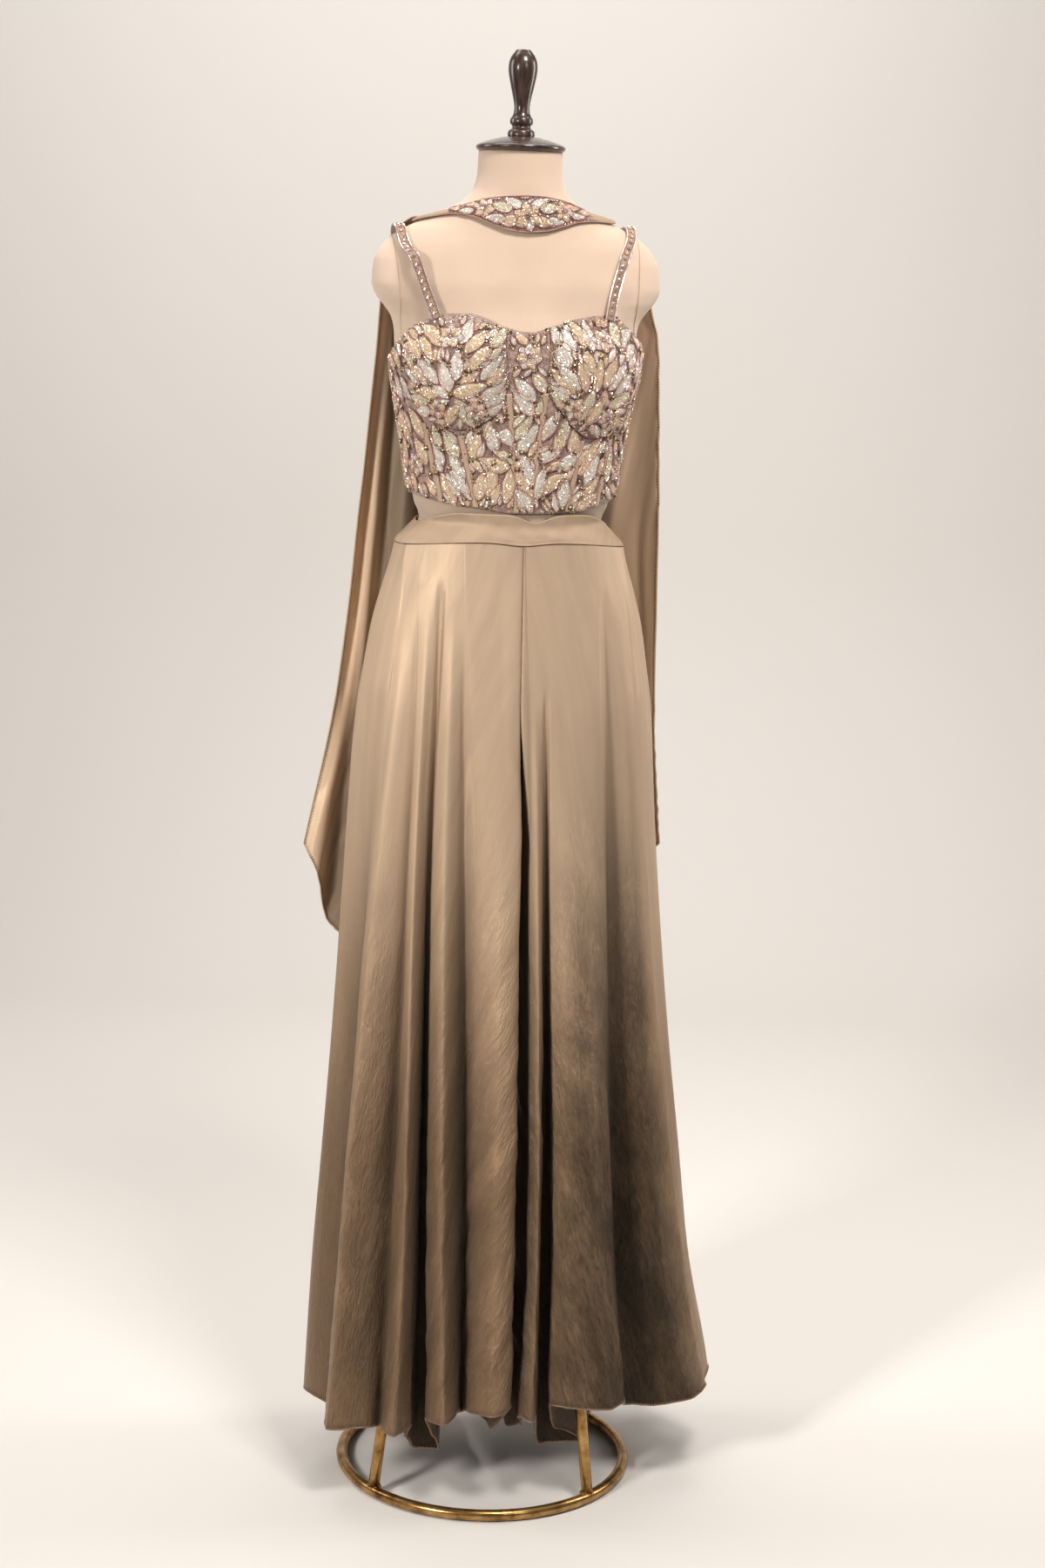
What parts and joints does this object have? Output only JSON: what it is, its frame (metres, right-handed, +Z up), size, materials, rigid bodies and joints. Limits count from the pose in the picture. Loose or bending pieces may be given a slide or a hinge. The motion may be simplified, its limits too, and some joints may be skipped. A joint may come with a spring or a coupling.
{
  "type": "palazzo suit on dress form",
  "caption": "Embroidered corset top, wide-leg satin palazzo trousers and choker with back drape, worn on a limbless dress form with a turned finial and a ring base.",
  "frame": {"origin": "centre of the bounding box at the floor", "axes": "+Z up, the front of the garment faces -Y, +X is the wearer's left"},
  "size_m": [0.5212, 0.372, 1.74],
  "materials": {
    "taupe_satin": "taupe bronze satin with a soft crushed sheen",
    "embroidery": "taupe ground covered with gold and silver sequin leaves, mauve bead cords and small stones",
    "plain_channel_satin": "plain satin boning channels",
    "beige_jersey": "matt beige cotton jersey over a padded form",
    "dark_wood": "dark stained turned wood, satin varnish",
    "aged_brass": "antique brass plated steel tube"
  },
  "bodies": {
    "root": {"stand_ring": "aged_brass", "stand_tube_front_right": "aged_brass", "stand_tube_front_left": "aged_brass", "stand_tube_back_left": "aged_brass", "stand_tube_back_right": "aged_brass", "stand_hub": "aged_brass", "form_torso": "beige_jersey", "neck_plate": "dark_wood", "finial": "dark_wood", "corset_front_centre": "embroidery", "corset_cup_right": "embroidery", "corset_cup_left": "embroidery", "corset_front_inner_right": "embroidery", "corset_front_inner_left": "embroidery", "corset_front_outer_right": "embroidery", "corset_front_outer_left": "embroidery", "corset_side_back_left": "embroidery", "corset_side_back_right": "embroidery", "boning_channel_r3": "plain_channel_satin", "boning_channel_r2": "plain_channel_satin", "boning_channel_r1": "plain_channel_satin", "boning_channel_l1": "plain_channel_satin", "boning_channel_l2": "plain_channel_satin", "boning_channel_l3": "plain_channel_satin", "strap_right": "embroidery", "strap_left": "embroidery", "trouser_front_right": "taupe_satin", "trouser_front_left": "taupe_satin", "trouser_back_right": "taupe_satin", "trouser_back_left": "taupe_satin", "waistband_front": "taupe_satin", "waistband_back": "taupe_satin", "choker_band": "embroidery", "drape_back": "taupe_satin"}
  },
  "joints": []
}
